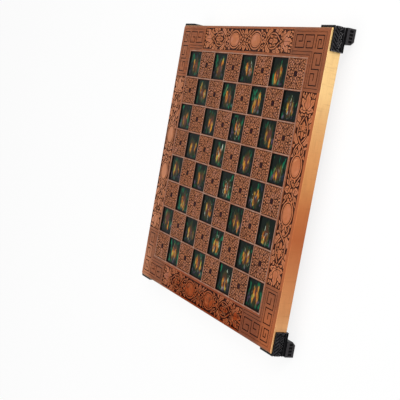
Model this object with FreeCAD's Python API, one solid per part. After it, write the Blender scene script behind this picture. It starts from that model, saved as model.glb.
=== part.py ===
import FreeCAD, Part
import os

# Carved chessboard lying on its four corner feet, in millimetres, +Z up.
# The origin is on the floor under the centre of the board, -Y is the first player's side
# and square a1 is at the front left.

# Playing field
SQUARES = 8
SQUARE_PITCH = 48.5
FILLET_WIDTH = 2.6

# Board
BORDER_WIDTH = 46.0
BOARD_THICKNESS = 24.0
PLATE_THICKNESS = 8.0
PLATE_BEVEL = 2.2

# Edge rails, core and back
RAIL_WIDTH = 18.0
LIP_WIDTH = 1.2
LIP_ROUND = 0.6
RAIL_BOTTOM_ROUND = 1.0
BACK_LEDGE = 6.0
BACK_THICKNESS = 3.0
BACK_RECESS = 0.5

# Enamelled tiles
TILE_SINK = 2.0
TILE_BASE = 2.4
TILE_RIM_WALL = 0.9
TILE_RIM_DROP = 0.3
MENISCUS_RADIUS = 1.2
TILE_CLEARANCE = 0.15

# Carved squares
CARVED_SQUARE_DEPTH = 1.6
DOT_DIAMETER = 4.6
DOT_CLEARANCE = 0.05
DOT_BOSS_WALL = 1.2
DOT_BOSS_DROP = 0.4
DOT_DOME = 0.5
DOT_SEAT_DEPTH = 1.2

# Relief of the carved squares: the leaves of one of eight like sectors, as base, tip and half width in shares
# of half the sunk square
SQUARE_RELIEF_DROP = 0.55
SQUARE_LEAVES = (
    ((0.27, 0.0), (0.96, 0.0), 0.165),
    ((0.21, 0.21), (0.94, 0.94), 0.14),
    ((0.66, 0.30), (0.955, 0.60), 0.085),
)

# Border panels
PANEL_DEPTH = 1.6
PANEL_FIELD_MARGIN = 4.5
PANEL_EDGE_MARGIN = 1.0
ROUNDEL_LENGTH = 31.0                # along the side; the roundels are oval
ROUNDEL_WIDTH = 23.5
ROUNDEL_SPACING = 70.0
ROUNDEL_RING_GAP = 1.5
ROUNDEL_RING_WIDTH = 2.4
ROUNDEL_DROP = 0.3

# Relief of the border panels: the forms of one quarter, as shares of the panel's half length and half width,
# and each leaf's half width and bow as shares of the half width
PANEL_RELIEF_DROP = 0.4
PANEL_LEAVES = (
    ((0.064, 0.24), (0.098, 0.88), 0.13, 0.06),
    ((0.019, 0.43), (0.0035, 0.95), 0.13, 0.02),
    ((0.437, 0.50), (0.341, 0.93), 0.13, 0.075),
    ((0.676, 0.51), (0.777, 0.90), 0.155, 0.095),
    ((0.637, 0.67), (0.688, 0.93), 0.14, 0.04),
    ((0.471, 0.40), (0.572, 0.92), 0.165, 0.085),
    ((0.457, 0.0), (0.366, 0.0), 0.155, 0.0),
    ((0.612, 0.0), (0.704, 0.0), 0.14, 0.0),
    ((0.602, 0.0), (0.53, 0.0), 0.14, 0.0),
    ((0.835, 0.0), (0.985, 0.0), 0.22, 0.0),
    ((0.832, 0.075), (0.926, 0.86), 0.20, 0.0),
    ((0.820, 0.10), (0.817, 0.92), 0.15, 0.0),
)
PANEL_STEMS = (
    ((0.344, 0.593), (0.392, 0.728), (0.447, 0.431), (0.502, -0.189), (0.570, -0.620), (0.653, -0.593),
     (0.722, -0.243), (0.765, -0.01)),
    ((-0.110, 0.620), (-0.055, 0.377), (0.055, -0.377), (0.110, -0.620), (0.151, -0.873)),
)
PANEL_STEM_WIDTH = 0.09
PANEL_BUDS = ((0.0, 0.14), (0.77, 0.105))

# Greek key blocks at the four corners
KEY_HEIGHT = 19.0
KEY_LENGTH = 47.0
KEY_UPRIGHT_INSET = 17.0
KEY_HOOK_INSET = 8.0
KEY_FIELD_MARGIN = 15.0
KEY_GAP = 7.0
KEY_GROOVE_WIDTH = 1.7
KEY_GROOVE_DEPTH = 1.2
FINE_LINE_WIDTH = 0.9
FINE_LINE_DEPTH = 0.7
FINE_LINE_SPACING = 5.0
ZIGZAG_PITCH = 3.0
ZIGZAG_HEIGHT = 1.8

# Corner brackets with their feet
BRACKET_WALL = 2.5
BRACKET_ARM = 35.5
BRACKET_TOP_DROP = 2.1
BRACKET_SEAT = 2.0
BRACKET_SEAT_CUT = 11.0
BAND_HEIGHT = 3.0
BAND_PROUD = 0.7
FOOT_SIDE = 24.0
FOOT_HEIGHT = 15.5
FOOT_OVERHANG = 1.8
FOOT_CHAMFER = 5.0
NICHE_COUNT = 4
NICHE_WIDTH = 3.6
NICHE_HEIGHT = 6.0
NICHE_PITCH = 5.0
NICHE_DEPTH = 0.8

# Foot pads and screws
PAD_THICKNESS = 1.0
PAD_MARGIN = 1.6
SCREW_SHANK = 3.0
SCREW_HEAD = 6.0
SCREW_HEAD_HEIGHT = 1.5
SCREW_LENGTH = 12.0
SCREW_CLEARANCE = 0.1
DRIVE_SLOT_WIDTH = 0.9
DRIVE_SLOT_DEPTH = 0.7

# Levels and places that follow from the sizes above
FIELD_HALF = SQUARES * SQUARE_PITCH / 2
BOARD_HALF = FIELD_HALF + BORDER_WIDTH
PLATE_HALF = BOARD_HALF - LIP_WIDTH
FLAT_HALF = PLATE_HALF - PLATE_BEVEL
POCKET_HALF = (SQUARE_PITCH - FILLET_WIDTH) / 2
Z_BOARD = FOOT_HEIGHT + BRACKET_SEAT
Z_FIELD = Z_BOARD + BOARD_THICKNESS
Z_PLATE = Z_FIELD - PLATE_THICKNESS
Z_LIP = Z_FIELD - PLATE_BEVEL
Z_ENAMEL = Z_FIELD - TILE_SINK
Z_TILE = Z_ENAMEL - TILE_BASE
Z_CARVED_FLOOR = Z_FIELD - CARVED_SQUARE_DEPTH
Z_PANEL_FLOOR = Z_FIELD - PANEL_DEPTH
WALL_HALF = BOARD_HALF + BRACKET_WALL
FOOT_HALF = WALL_HALF + FOOT_OVERHANG
FOOT_INNER = FOOT_HALF - FOOT_SIDE
ARM_END = WALL_HALF - BRACKET_ARM
FILES = "abcdefgh"
SIDES = ("right", "back", "left", "front")
CORNERS = ("back_right", "back_left", "front_left", "front_right")

V = FreeCAD.Vector
UP = V(0, 0, 1)
ORIGIN = V(0, 0, 0)
QUARTER_TURN = 90
TOUCH = 1e-6


def block(x0, x1, y0, y1, z0, z1):
    """Box between two corners, given in any order."""
    low = V(min(x0, x1), min(y0, y1), min(z0, z1))
    return Part.makeBox(abs(x1 - x0), abs(y1 - y0), abs(z1 - z0), low)


def slab(half, z0, z1):
    """Square slab centred on the board's axis."""
    return block(-half, half, -half, half, z0, z1)


def prism(points, z0, z1):
    """Upright prism over a closed outline of (x, y) points."""
    outline = [V(x, y, z0) for x, y in points]
    return Part.Face(Part.makePolygon(outline + outline[:1])).extrude(V(0, 0, z1 - z0))


def rod(diameter, x, y, z0, z1):
    """Upright cylinder."""
    return Part.makeCylinder(diameter / 2, z1 - z0, V(x, y, z0), UP)


def oval(width, length, x, y, z0, z1):
    """Upright cylinder on an ellipse that is longer along Y than along X."""
    curve = Part.Ellipse(V(x, y + length / 2, z0), V(x + width / 2, y, z0), V(x, y, z0))
    return Part.Face(Part.Wire(curve.toShape())).extrude(V(0, 0, z1 - z0))


def turned(shape, quarters):
    """Copy of a shape turned about the board's axis by some quarter turns."""
    copy = shape.copy()
    copy.rotate(ORIGIN, UP, quarters * QUARTER_TURN)
    return copy


def leaf(base, tip, half_width, bow, z0, z1):
    """Upright leaf with two arched edges that meet in points, its middle bowed to the left of its line."""
    start, end = V(base[0], base[1], z0), V(tip[0], tip[1], z0)
    side = V(start.y - end.y, end.x - start.x, 0).normalize()
    middle = (start + end) / 2
    left = Part.Arc(start, middle + side * (bow + half_width), end)
    right = Part.Arc(end, middle + side * (bow - half_width), start)
    return Part.Face(Part.Wire([left.toShape(), right.toShape()])).extrude(V(0, 0, z1 - z0))


def stem(points, width, z0, z1):
    """Upright band of even width along a smooth line through some (x, y) points."""
    middle = Part.BSplineCurve()
    middle.interpolate([V(x, y, z0) for x, y in points])
    edges = []
    for side in (-1, 1):
        beside = []
        for x, y in points:
            at = middle.parameter(V(x, y, z0))
            along = middle.tangent(at)[0]
            beside.append(V(x, y, z0) + V(-along.y, along.x, 0) * (side * width / 2))
        edge = Part.BSplineCurve()
        edge.interpolate(beside)
        edges.append(edge)
    right, left = edges
    ends = [Part.makeLine(right.EndPoint, left.EndPoint), Part.makeLine(left.StartPoint, right.StartPoint)]
    outline = Part.Wire([right.toShape(), ends[0], left.toShape(), ends[1]])
    return Part.Face(outline).extrude(V(0, 0, z1 - z0))


def ends_at(edge, x=None, y=None, z=None):
    """True if both ends of an edge lie at the given coordinates."""
    return all(abs(v.Point[axis] - at) < TOUCH
               for v in edge.Vertexes for axis, at in enumerate((x, y, z)) if at is not None)


def mirrored_to_corners(shape):
    """The shape at the back right corner and its mirror images at the other three."""
    left = shape.mirror(ORIGIN, V(1, 0, 0))
    return [shape, left, shape.mirror(ORIGIN, V(0, 1, 0)), left.mirror(ORIGIN, V(0, 1, 0))]


def square_centre(index):
    """Centre of a file or rank, measured from the board's middle."""
    return (index + 0.5) * SQUARE_PITCH - FIELD_HALF


def squares(dark):
    """Places of the dark or the light squares as (file index, rank index)."""
    places = [(i, j) for i in range(SQUARES) for j in range(SQUARES)]
    return [(i, j) for i, j in places if ((i + j) % 2 == 0) == dark]


def groove(points, width, depth):
    """Cutter for a square groove that follows a path of axis-parallel runs."""
    grow = width / 2
    runs = []
    for (xa, ya), (xb, yb) in zip(points, points[1:]):
        low_x, high_x = min(xa, xb) - grow, max(xa, xb) + grow
        low_y, high_y = min(ya, yb) - grow, max(ya, yb) + grow
        runs.append(block(low_x, high_x, low_y, high_y, Z_FIELD - depth, Z_FIELD))
    return runs[0].multiFuse(runs[1:]).removeSplitter()


def zigzag(start, end, level):
    """Cutter for a zigzag band along X, from start to about end, centred on Y = level."""
    teeth = 2 * round((end - start) / ZIGZAG_PITCH)
    step = (end - start) / teeth
    crest = [(start + index * step, level + (index % 2 - 0.5) * ZIGZAG_HEIGHT) for index in range(teeth + 1)]
    upper = [(x, y + FINE_LINE_WIDTH / 2) for x, y in crest]
    lower = [(x, y - FINE_LINE_WIDTH / 2) for x, y in reversed(crest)]
    return prism(upper + lower, Z_FIELD - FINE_LINE_DEPTH, Z_FIELD)


# Carved top plate
def double_key():
    """Path of the double Greek key, from its inner end, as (along, across)."""
    mid, near, half = KEY_HEIGHT / 2, KEY_UPRIGHT_INSET, KEY_LENGTH / 2
    first = [(KEY_HOOK_INSET, mid), (near, mid), (near, 0), (0, 0), (0, KEY_HEIGHT), (half, KEY_HEIGHT)]
    second = [(KEY_LENGTH - along, KEY_HEIGHT - across) for along, across in reversed(first)]
    return first + second


def corner_key():
    """Path of the square spiral on the corner itself."""
    side = KEY_HEIGHT
    third = side / 3
    outer = [(0, 0), (side, 0), (side, side), (0, side)]
    return outer + [(0, third), (2 * third, third), (2 * third, 2 * third), (third, 2 * third)]


def key_cutters():
    """Cutters of the Greek key block at the back right corner."""
    start = FIELD_HALF + KEY_FIELD_MARGIN
    arm_start = start - KEY_GAP - KEY_LENGTH
    outer_line = start + KEY_HEIGHT + FINE_LINE_SPACING
    block_end = (arm_start + FIELD_HALF - SQUARE_PITCH) / 2
    first_line = FIELD_HALF + PANEL_FIELD_MARGIN
    inner_lines = [first_line, first_line + FINE_LINE_SPACING]
    keys = [
        [(start + x, start + y) for x, y in corner_key()],
        [(arm_start + along, start + across) for along, across in double_key()],
        [(start + KEY_HEIGHT - across, arm_start + along) for along, across in double_key()],
    ]
    lines = [[(block_end, level), (level, level), (level, block_end)] for level in inner_lines]
    lines.append([(block_end, inner_lines[0]), (block_end, outer_line)])
    lines.append([(inner_lines[0], block_end), (outer_line, block_end)])
    cutters = [groove(path, KEY_GROOVE_WIDTH, KEY_GROOVE_DEPTH) for path in keys]
    cutters += [groove(path, FINE_LINE_WIDTH, FINE_LINE_DEPTH) for path in lines]
    band = zigzag(block_end + FINE_LINE_SPACING / 2, outer_line, outer_line)
    cutters += [band, band.mirror(ORIGIN, V(1, -1, 0))]
    return cutters


def panel_relief(half_length, half_width, z0, z1):
    """Foliage of one panel, along Y and across X, as separate solids about its middle."""
    forms = []
    for turn_along, turn_across in ((1, 1), (1, -1), (-1, 1), (-1, -1)):
        def place(point):
            return (turn_across * point[1] * half_width, turn_along * point[0] * half_length)
        mirrored = turn_along * turn_across
        for base, tip, breadth, bow in PANEL_LEAVES:
            if turn_across < 0 and base[1] == tip[1] == 0:
                continue
            bowed = -mirrored * bow * half_width
            forms.append(leaf(place(base), place(tip), breadth * half_width, bowed, z0, z1))
        for index, points in enumerate(PANEL_STEMS):
            if index == 1 and turn_along < 0:
                continue
            forms.append(stem([place(point) for point in points], PANEL_STEM_WIDTH * half_width, z0, z1))
        for along, radius in PANEL_BUDS:
            if turn_across > 0 and (along or turn_along > 0):
                forms.append(rod(2 * radius * half_width, 0, turn_along * along * half_length, z0, z1))
    return forms


def panel_cutter():
    """Sunk panel between two corner blocks on the right side, around its two roundels."""
    inner = FIELD_HALF + PANEL_FIELD_MARGIN
    outer = FLAT_HALF - PANEL_EDGE_MARGIN
    half_length = FIELD_HALF - SQUARE_PITCH
    sunk = block(inner, outer, -half_length, half_length, Z_PANEL_FLOOR, Z_FIELD)
    top = Z_FIELD - ROUNDEL_DROP
    wide, long = ROUNDEL_WIDTH, ROUNDEL_LENGTH
    gap, band = 2 * ROUNDEL_RING_GAP, 2 * (ROUNDEL_RING_GAP + ROUNDEL_RING_WIDTH)
    for side in (-1, 1):
        x, y = (inner + outer) / 2, side * ROUNDEL_SPACING / 2
        ring = oval(wide + band, long + band, x, y, Z_PANEL_FLOOR, top)
        ring = ring.cut(oval(wide + gap, long + gap, x, y, Z_PANEL_FLOOR, top))
        sunk = sunk.cut([oval(wide, long, x, y, Z_PANEL_FLOOR, top), ring])
    relief = panel_relief(half_length, (outer - inner) / 2, Z_PANEL_FLOOR, Z_FIELD - PANEL_RELIEF_DROP)
    for form in relief:
        form.translate(V((inner + outer) / 2, 0, 0))
    return sunk.cut(relief)


def square_relief(z0, z1):
    """Leaves of one carved square, as separate solids about its middle."""
    scale = POCKET_HALF
    sector = []
    for (xa, ya), (xb, yb), half_width in SQUARE_LEAVES:
        for side in (1, -1):
            if side < 0 and (ya == yb == 0 or xa == ya):
                continue
            ends = (xa * scale, side * ya * scale), (xb * scale, side * yb * scale)
            sector.append(leaf(*ends, half_width * scale, 0, z0, z1))
    return [turned(form, quarters) for quarters in range(len(SIDES)) for form in sector]


def carved_square_cutters():
    """Sunk square around its relief and the boss that holds the centre dot, and the seat of the dot."""
    boss_top = Z_FIELD - DOT_BOSS_DROP
    seat = DOT_DIAMETER + 2 * DOT_CLEARANCE
    boss = rod(seat + 2 * DOT_BOSS_WALL, 0, 0, Z_CARVED_FLOOR, boss_top)
    sunk = slab(POCKET_HALF, Z_CARVED_FLOOR, Z_FIELD)
    relief = square_relief(Z_CARVED_FLOOR, Z_FIELD - SQUARE_RELIEF_DROP)
    return [sunk.cut([boss] + relief), rod(seat, 0, 0, boss_top - DOT_SEAT_DEPTH, boss_top)]


def carved_top():
    """The stained plate with its pockets, carved squares, panels and Greek keys."""
    plate = slab(PLATE_HALF, Z_PLATE, Z_FIELD)
    plate = plate.makeChamfer(PLATE_BEVEL, [edge for edge in plate.Edges if ends_at(edge, z=Z_FIELD)])
    cutters = []
    for i, j in squares(dark=True):
        x, y = square_centre(i), square_centre(j)
        cutters.append(block(x - POCKET_HALF, x + POCKET_HALF, y - POCKET_HALF, y + POCKET_HALF,
                             Z_TILE, Z_FIELD))
    square_cutters = carved_square_cutters()
    for i, j in squares(dark=False):
        for cutter in square_cutters:
            copy = cutter.copy()
            copy.translate(V(square_centre(i), square_centre(j), 0))
            cutters.append(copy)
    cutters += [turned(panel_cutter(), quarters) for quarters in range(len(SIDES))]
    for cutter in key_cutters():
        cutters += mirrored_to_corners(cutter)
    return plate.cut(cutters)


# Inlays
def enamel_tile():
    """Enamelled tray for one dark square, with its bed sunk below a thin rim."""
    half = POCKET_HALF - TILE_CLEARANCE
    bed = half - TILE_RIM_WALL
    tray = slab(half, Z_TILE, Z_FIELD - TILE_RIM_DROP).cut(slab(bed, Z_ENAMEL, Z_FIELD))
    meniscus = [edge for edge in tray.Edges if abs(edge.BoundBox.ZMin - Z_ENAMEL) < TOUCH]
    return tray.makeFillet(MENISCUS_RADIUS, meniscus)


def centre_dots():
    """The enamel drops in the middle of the carved squares, as one group."""
    seat_z = Z_FIELD - DOT_BOSS_DROP - DOT_SEAT_DEPTH
    radius = DOT_DIAMETER / 2
    sphere_radius = (radius ** 2 + DOT_DOME ** 2) / (2 * DOT_DOME)
    side_top = seat_z + DOT_SEAT_DEPTH - DOT_DOME / 2
    drops = []
    for i, j in squares(dark=False):
        x, y = square_centre(i), square_centre(j)
        body = rod(DOT_DIAMETER, x, y, seat_z, side_top + DOT_DOME)
        ball = Part.makeSphere(sphere_radius, V(x, y, side_top + DOT_DOME - sphere_radius))
        drops.append(body.common(ball))
    return Part.makeCompound(drops)


# Edge rails, core and back
def screw_places():
    """Screw centres at the back right corner: one in each rail, inboard of the foot."""
    across = BOARD_HALF - (RAIL_WIDTH - BACK_LEDGE) / 2
    along = (FOOT_INNER + ARM_END) / 2
    return [(across, along), (along, across)]


def right_rail():
    """Mitred rail of the right side, rebated for the plate above and the back below."""
    foot_line = BOARD_HALF - RAIL_WIDTH + BACK_LEDGE
    inner = BOARD_HALF - RAIL_WIDTH
    ledge_z = Z_BOARD + BACK_RECESS + BACK_THICKNESS
    section = [(BOARD_HALF, Z_BOARD), (BOARD_HALF, Z_LIP), (PLATE_HALF, Z_LIP), (PLATE_HALF, Z_PLATE),
               (inner, Z_PLATE), (inner, ledge_z), (foot_line, ledge_z), (foot_line, Z_BOARD)]
    outline = [V(x, -BOARD_HALF, z) for x, z in section]
    bar = Part.Face(Part.makePolygon(outline + outline[:1])).extrude(V(0, 2 * BOARD_HALF, 0))
    for level, radius in ((Z_LIP, LIP_ROUND), (Z_BOARD, RAIL_BOTTOM_ROUND)):
        arris = [edge for edge in bar.Edges if ends_at(edge, x=BOARD_HALF, z=level)]
        bar = bar.makeFillet(radius, arris)
    mitre = prism([(BOARD_HALF, -BOARD_HALF), (BOARD_HALF, BOARD_HALF), (inner, inner), (inner, -inner)],
                  Z_BOARD, Z_FIELD)
    holes = []
    for x, y in screw_places()[:1]:
        for side in (-1, 1):
            top = Z_BOARD - BRACKET_SEAT + SCREW_LENGTH + SCREW_CLEARANCE
            holes.append(rod(SCREW_SHANK + 2 * SCREW_CLEARANCE, x, side * y, Z_BOARD, top))
    return bar.common(mitre).cut(holes)


def core_panel():
    """Core between the rails, under the carved plate."""
    return slab(BOARD_HALF - RAIL_WIDTH, Z_BOARD + BACK_RECESS + BACK_THICKNESS, Z_PLATE)


def back_panel():
    """Thin back, let into the rails."""
    bottom = Z_BOARD + BACK_RECESS
    return slab(BOARD_HALF - RAIL_WIDTH + BACK_LEDGE, bottom, bottom + BACK_THICKNESS)


# Corner brackets
def foot_niches():
    """Cutters for the row of small niches along the outer faces of the foot."""
    middle = (FOOT_INNER + FOOT_HALF) / 2
    z_middle = (PAD_THICKNESS + FOOT_HEIGHT) / 2
    z0, z1 = z_middle - NICHE_HEIGHT / 2, z_middle + NICHE_HEIGHT / 2
    cutters = []
    for index in range(NICHE_COUNT):
        centre = middle + (index - (NICHE_COUNT - 1) / 2) * NICHE_PITCH
        a, b = centre - NICHE_WIDTH / 2, centre + NICHE_WIDTH / 2
        cutters.append(block(a, b, FOOT_HALF - NICHE_DEPTH, FOOT_HALF, z0, z1))
        cutters.append(block(FOOT_HALF - NICHE_DEPTH, FOOT_HALF, a, b, z0, z1))
    return cutters


def foot_block():
    """Foot under the corner, with chamfered inner arrises at its base."""
    body = block(FOOT_INNER, FOOT_HALF, FOOT_INNER, FOOT_HALF, PAD_THICKNESS, FOOT_HEIGHT)
    inner = [edge for edge in body.Edges
             if ends_at(edge, x=FOOT_INNER, z=PAD_THICKNESS) or ends_at(edge, y=FOOT_INNER, z=PAD_THICKNESS)]
    return body.makeChamfer(FOOT_CHAMFER, inner)


def corner_bracket():
    """Cast bracket of the back right corner: two walls, a seat below the board and a foot."""
    wall_top = Z_LIP - BRACKET_TOP_DROP
    angle = block(ARM_END, WALL_HALF, ARM_END, WALL_HALF, FOOT_HEIGHT, wall_top)
    angle = angle.cut(block(ARM_END, BOARD_HALF, ARM_END, BOARD_HALF, Z_BOARD, wall_top))
    band_half = WALL_HALF + BAND_PROUD
    band_top = FOOT_HEIGHT + BAND_HEIGHT
    band = block(ARM_END, band_half, ARM_END, band_half, FOOT_HEIGHT, band_top)
    band = band.cut(block(ARM_END, BOARD_HALF, ARM_END, BOARD_HALF, FOOT_HEIGHT, band_top))
    corner_cut = prism([(ARM_END, ARM_END), (ARM_END + BRACKET_SEAT_CUT, ARM_END),
                        (ARM_END, ARM_END + BRACKET_SEAT_CUT)], FOOT_HEIGHT, Z_BOARD)
    bracket = angle.multiFuse([band, foot_block()]).removeSplitter()
    screw_holes = [screw(x, y, SCREW_CLEARANCE) for x, y in screw_places()]
    return bracket.cut([corner_cut] + foot_niches() + screw_holes)


def foot_pad():
    """Pad under the foot of the back right corner."""
    low = FOOT_INNER + FOOT_CHAMFER + PAD_MARGIN
    high = FOOT_HALF - PAD_MARGIN
    return block(low, high, low, high, 0, PAD_THICKNESS)


def screw(x, y, clearance=0.0):
    """Countersunk screw, head down, or its hole when a clearance is given."""
    head_z = FOOT_HEIGHT
    neck_z = head_z + SCREW_HEAD_HEIGHT
    head_r, shank_r = SCREW_HEAD / 2 + clearance, SCREW_SHANK / 2 + clearance
    head = Part.makeCone(head_r, shank_r, SCREW_HEAD_HEIGHT, V(x, y, head_z), UP)
    shank = rod(2 * shank_r, x, y, neck_z, head_z + SCREW_LENGTH + clearance)
    return head.fuse(shank)


def bracket_screws():
    """All eight screws, as one group, with slotted heads."""
    screws = []
    for x, y in screw_places():
        slot = block(x - SCREW_HEAD / 2, x + SCREW_HEAD / 2, y - DRIVE_SLOT_WIDTH / 2,
                     y + DRIVE_SLOT_WIDTH / 2, FOOT_HEIGHT, FOOT_HEIGHT + DRIVE_SLOT_DEPTH)
        screws += mirrored_to_corners(screw(x, y).cut(slot))
    return Part.makeCompound(screws)


def build():
    """Every node of the board by name."""
    nodes = {"carved_top": carved_top()}
    tile = enamel_tile()
    for i, j in squares(dark=True):
        copy = tile.copy()
        copy.translate(V(square_centre(i), square_centre(j), 0))
        nodes["enamel_tile_%s%d" % (FILES[i], j + 1)] = copy
    nodes["centre_dots"] = centre_dots()
    nodes["core_panel"] = core_panel()
    nodes["back_panel"] = back_panel()
    for quarters, side in enumerate(SIDES):
        nodes["edge_rail_" + side] = turned(right_rail(), quarters)
    for quarters, corner in enumerate(CORNERS):
        nodes["corner_bracket_" + corner] = turned(corner_bracket(), quarters)
        nodes["foot_pad_" + corner] = turned(foot_pad(), quarters)
    nodes["bracket_screws"] = bracket_screws()
    return nodes


def main():
    os.makedirs("parts", exist_ok=True)
    for name, shape in build().items():
        if not shape.isValid():
            raise ValueError(name + " is not a valid solid")
        shape.exportStep(os.path.join("parts", name + ".step"))
        print("%-28s %3d solids %12.1f mm3" % (name, len(shape.Solids), shape.Volume))


main()
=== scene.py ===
import logging
import math
from dataclasses import dataclass, field
from enum import Enum
from functools import partialmethod
from typing import Callable, Optional, Sequence, Union

import bmesh
import bpy
import numpy as np
from mathutils import Matrix, Vector


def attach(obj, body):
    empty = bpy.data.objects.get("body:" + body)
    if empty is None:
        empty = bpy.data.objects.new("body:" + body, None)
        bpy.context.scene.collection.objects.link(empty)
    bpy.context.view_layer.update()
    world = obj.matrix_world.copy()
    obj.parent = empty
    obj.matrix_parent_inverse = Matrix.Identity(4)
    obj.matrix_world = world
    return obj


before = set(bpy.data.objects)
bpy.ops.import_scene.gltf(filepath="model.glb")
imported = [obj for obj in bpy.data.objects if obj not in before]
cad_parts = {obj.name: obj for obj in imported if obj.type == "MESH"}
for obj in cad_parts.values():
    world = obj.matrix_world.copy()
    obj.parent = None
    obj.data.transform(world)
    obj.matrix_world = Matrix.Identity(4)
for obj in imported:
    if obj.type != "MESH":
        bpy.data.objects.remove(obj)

LOG = logging.getLogger("chessboard")
MM = 0.001
BMesh = bmesh.types.BMesh
Material = bpy.types.Material
Mesh = bpy.types.Mesh
Point = tuple[float, float]
Colour = tuple[float, float, float, float]


def srgb(red: int, green: int, blue: int) -> Colour:
    """Colour of a paint chip, given as 0 to 255, in the linear values that nodes take."""
    parts = [channel / 255 for channel in (red, green, blue)]
    linear = [p / 12.92 if p <= 0.04045 else ((p + 0.055) / 1.055) ** 2.4 for p in parts]
    return (linear[0], linear[1], linear[2], 1.0)


class QuarterTurn(Enum):
    """Places round the board, each with its quarter turns from the first."""

    @property
    def turn(self) -> Matrix:
        """Rotation that brings a piece from the first place to this one."""
        return Matrix.Rotation(self.value * math.pi / 2, 4, "Z")


class Side(QuarterTurn):
    """Sides of the board."""

    RIGHT = 0
    BACK = 1
    LEFT = 2
    FRONT = 3


class Corner(QuarterTurn):
    """Corners of the board."""

    BACK_RIGHT = 0
    BACK_LEFT = 1
    FRONT_LEFT = 2
    FRONT_RIGHT = 3


class Grain(Enum):
    """Axis along which the grain of a wooden piece runs."""

    X = 0
    Y = 1


@dataclass(frozen=True)
class BoardSizes:
    """Sizes that the pieces share, in millimetres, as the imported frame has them."""

    squares: int = 8
    pitch: float = 48.5
    top: float = 41.5
    carved_floor: float = 39.9
    flat_half: float = 236.6
    board_half: float = 240.0
    wall_half: float = 242.5
    foot_half: float = 244.3
    rail_lip: float = 39.3
    wall_base: float = 18.5
    wall_top: float = 37.2
    arm: float = 35.5

    @property
    def field_half(self) -> float:
        """Half the width of the playing field."""
        return self.squares * self.pitch / 2

    def centre(self, index: int) -> float:
        """Middle of a file or rank, from the board's axis."""
        return (index + 0.5) * self.pitch - self.field_half


SIZES = BoardSizes()


# Materials


@dataclass(frozen=True)
class Signal:
    """Output of a node. Its sums add the nodes that they need."""

    sheet: "NodeSheet"
    socket: bpy.types.NodeSocket

    def calc(self, operation: str, *values: "Value") -> "Signal":
        """Result of a Math node that takes this signal first."""
        return self.sheet.add("Math", (self, *values), operation=operation)

    __add__ = partialmethod(calc, "ADD")
    __sub__ = partialmethod(calc, "SUBTRACT")
    __mul__ = partialmethod(calc, "MULTIPLY")
    __truediv__ = partialmethod(calc, "DIVIDE")
    __pow__ = partialmethod(calc, "POWER")
    __abs__ = partialmethod(calc, "ABSOLUTE")
    most = partialmethod(calc, "MAXIMUM")
    least = partialmethod(calc, "MINIMUM")

    def rest(self) -> "Signal":
        """What is left of 1."""
        return self.sheet.add("Math", (1.0, self), operation="SUBTRACT")

    def span(self, low: float, high: float, to_low: float = 0.0, to_high: float = 1.0) -> "Signal":
        """This signal carried smoothly from one range to another, and held at its ends."""
        values = (self, low, high, to_low, to_high)
        return self.sheet.add("MapRange", values, interpolation_type="SMOOTHSTEP")

    def outputs(self) -> list["Signal"]:
        """Every output of this signal's node."""
        return [Signal(self.sheet, socket) for socket in self.socket.node.outputs]


Value = Union[Signal, float, Sequence[float]]
Spot = Sequence[Signal]
Chance = tuple[Signal, float, float]


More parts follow.
